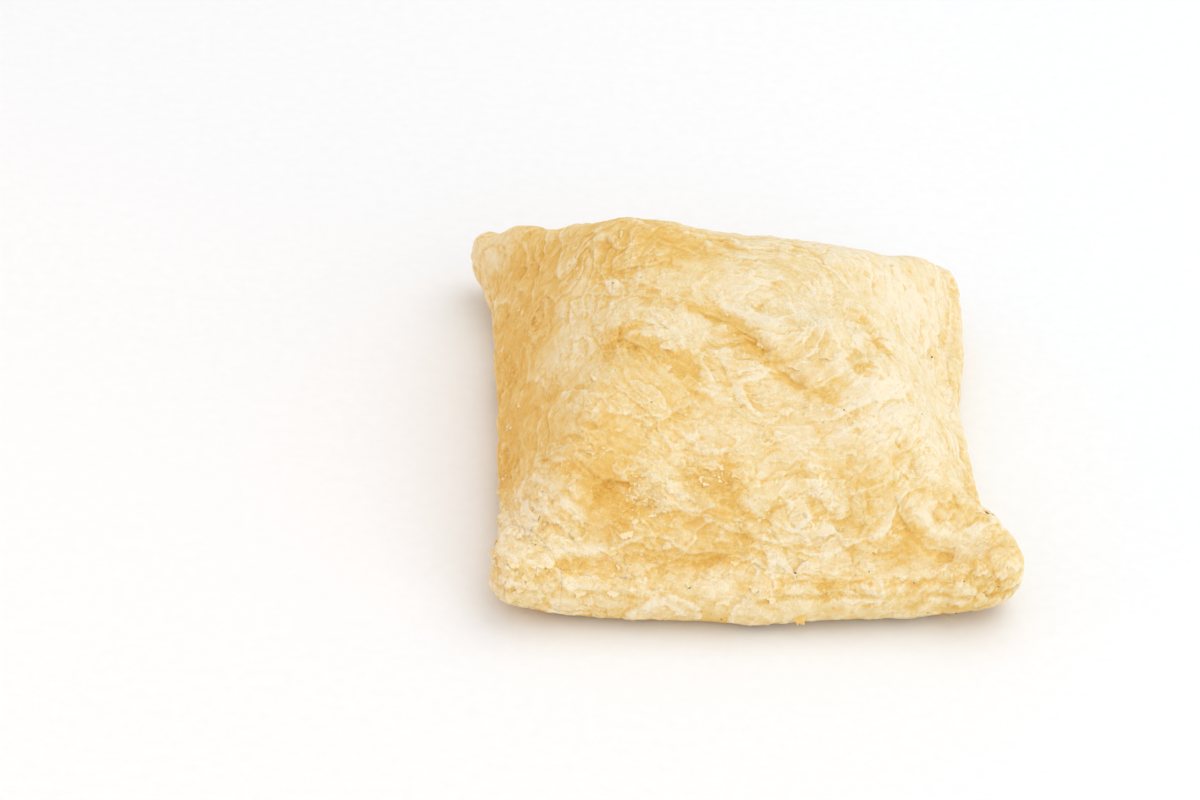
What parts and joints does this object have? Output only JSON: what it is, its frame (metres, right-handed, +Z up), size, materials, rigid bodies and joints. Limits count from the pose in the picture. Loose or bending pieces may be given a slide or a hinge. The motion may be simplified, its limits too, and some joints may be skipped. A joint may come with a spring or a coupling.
{
  "type": "puff pastry turnover",
  "caption": "Square baked puff pastry turnover: a risen, flaky pillow with a thick sealed hem and four pinched ears, lying flat.",
  "frame": {"origin": "centre of the bounding box in plan, on the flat of the underside", "axes": "+Z up, +Y from the front edge to the back edge, +X along the front edge from left to right"},
  "size_m": [0.1066, 0.1136, 0.0403],
  "materials": {
    "pastry": "baked pastry crust, matt to satin"
  },
  "bodies": {
    "root": {"pastry": "pastry"}
  },
  "joints": []
}
